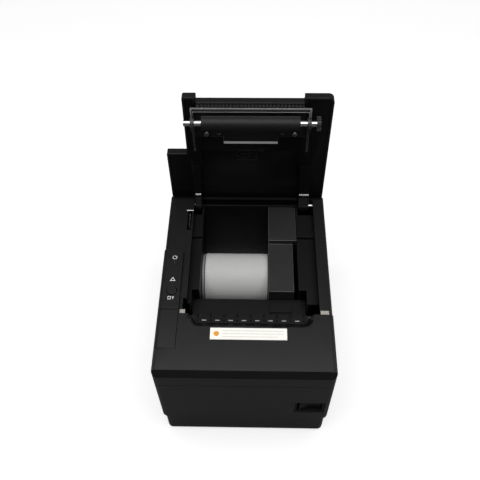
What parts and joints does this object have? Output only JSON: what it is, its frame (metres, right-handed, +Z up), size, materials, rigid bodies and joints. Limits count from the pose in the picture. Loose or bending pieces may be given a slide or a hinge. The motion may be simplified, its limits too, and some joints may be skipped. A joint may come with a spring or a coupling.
{
  "type": "receipt printer",
  "caption": "Upright clamshell thermal receipt printer with an auto cutter, its cover swung open to show the paper roll, platen, latch and drive train.",
  "frame": {"origin": "centre of the footprint of the whole part with its cover open, on the surface that it stands on", "axes": "+X to the printer's right as seen from its front, +Y to its rear, +Z up"},
  "size_m": [0.145, 0.198, 0.2343],
  "materials": {
    "case_plastic": "fine matte texture, near black",
    "inner_plastic": "smoother black moulding",
    "bright_steel": "bright brushed sheet and turned steel",
    "dark_steel": "dull zinc-plated sheet",
    "rubber": "matte black rubber",
    "gear_plastic": "dark acetal",
    "thermal_paper": "white coated paper, tightly wound",
    "pale_plastic": "pale beige pad",
    "power_lens": "clear green lens",
    "error_lens": "clear red lens",
    "circuit_board": "green solder mask",
    "guide_disc": "grey moulding",
    "core_card": "brown card tube",
    "heatsink": "plain extruded aluminium",
    "head_ceramic": "glazed ceramic strip",
    "label_film": "blank white film"
  },
  "bodies": {
    "body": {"base_tray": "case_plastic", "foot_front_left": "rubber", "foot_front_right": "rubber", "foot_rear_left": "rubber", "foot_rear_right": "rubber", "lower_case": "case_plastic", "upper_case": "case_plastic", "rail_pad_left": "pale_plastic", "rail_pad_right": "pale_plastic", "control_panel": "case_plastic", "power_lens": "power_lens", "error_lens": "error_lens", "panel_board": "circuit_board", "power_switch_housing": "inner_plastic", "paper_bin": "inner_plastic", "roll_guide_disc": "guide_disc", "width_partition": "inner_plastic", "mechanism_frame": "dark_steel", "head_pivot_rod": "bright_steel", "head_spring": "bright_steel", "feed_motor": "dark_steel", "cutter_frame": "dark_steel", "cutter_motor": "dark_steel", "exit_comb": "inner_plastic", "hinge_pin_left": "bright_steel", "hinge_pin_right": "bright_steel", "lid_spring": "bright_steel", "main_board": "circuit_board", "connector_plate": "dark_steel", "power_inlet": "inner_plastic", "usb_port": "bright_steel", "network_port": "bright_steel", "drawer_port": "inner_plastic", "blank_label": "label_film"},
    "cover": {"cover_shell": "case_plastic", "cover_liner": "inner_plastic", "tear_bar": "bright_steel", "platen_bracket": "bright_steel", "bracket_screw_left": "bright_steel", "bracket_screw_right": "bright_steel", "platen_bush_left": "gear_plastic", "platen_bush_right": "gear_plastic"},
    "platen": {"platen_shaft": "bright_steel", "platen_roller": "rubber", "platen_gear": "gear_plastic"},
    "idler": {"idler_gear": "gear_plastic"},
    "pinion": {"motor_pinion": "bright_steel"},
    "paper_roll": {"paper_roll": "thermal_paper", "paper_core": "core_card"},
    "feed_button": {"feed_button": "case_plastic"},
    "release_button": {"release_button": "case_plastic"},
    "power_rocker": {"power_rocker": "inner_plastic"},
    "cutter_blade": {"cutter_blade": "bright_steel"},
    "cutter_gear": {"cutter_gear": "gear_plastic"},
    "print_head": {"head_heatsink": "heatsink", "print_head": "head_ceramic"},
    "latch": {"latch_shaft": "bright_steel", "latch_hook_left": "bright_steel", "latch_hook_right": "bright_steel", "release_lever": "dark_steel"}
  },
  "joints": [
    {"name": "cover_hinge", "type": "hinge", "parent": "body", "child": "cover", "pos_m": [0, 0.0786, 0.1112], "axis": [1, 0, 0], "range_deg": [0, 92]},
    {"name": "platen_spin", "type": "hinge", "parent": "cover", "child": "platen", "pos_m": [0, 0.07253, 0.22388], "axis": [1, 0, 0], "continuous": true},
    {"name": "idler_spin", "type": "hinge", "parent": "body", "child": "idler", "pos_m": [0, -0.05064, 0.09198], "axis": [1, 0, 0], "continuous": true},
    {"name": "pinion_spin", "type": "hinge", "parent": "body", "child": "pinion", "pos_m": [0, -0.061, 0.078], "axis": [1, 0, 0], "continuous": true},
    {"name": "paper_roll_spin", "type": "hinge", "parent": "body", "child": "paper_roll", "pos_m": [0, 0.0196, 0.0747], "axis": [1, 0, 0], "continuous": true},
    {"name": "feed_button_press", "type": "slide", "parent": "body", "child": "feed_button", "axis": [0, 0, -1], "range_m": [0, 0.0008], "stiffness_N_per_m": 600},
    {"name": "latch_turn", "type": "hinge", "parent": "body", "child": "latch", "pos_m": [0, -0.0365, 0.084], "axis": [-1, 0, 0], "range_deg": [0, 17]},
    {"name": "release_button_rise", "type": "slide", "parent": "body", "child": "release_button", "axis": [0, 0, 1], "range_m": [0, 0.0033]},
    {"name": "rocker_tilt", "type": "hinge", "parent": "body", "child": "power_rocker", "pos_m": [0.0551, -0.0905, 0.058], "axis": [0, 0, -1], "range_deg": [0, 16]},
    {"name": "blade_slide", "type": "slide", "parent": "body", "child": "cutter_blade", "axis": [0, 1, 0], "range_m": [0, 0.007]},
    {"name": "cutter_gear_turn", "type": "hinge", "parent": "body", "child": "cutter_gear", "pos_m": [-0.0026, -0.069, 0.1135], "axis": [0, 0, 1], "range_deg": [0, 80.21]},
    {"name": "head_pivot", "type": "hinge", "parent": "body", "child": "print_head", "pos_m": [0, -0.0438, 0.082], "axis": [1, 0, 0], "range_deg": [0, 2], "stiffness_Nm_per_rad": 2}
  ],
  "couplings": [
    {"joint": "idler_spin", "follows": "platen_spin", "ratio": -0.3913},
    {"joint": "pinion_spin", "follows": "platen_spin", "ratio": 1.5},
    {"joint": "latch_turn", "follows": "release_button_rise", "rad_per_m": 89.911},
    {"joint": "cutter_gear_turn", "follows": "blade_slide", "rad_per_m": 200}
  ]
}
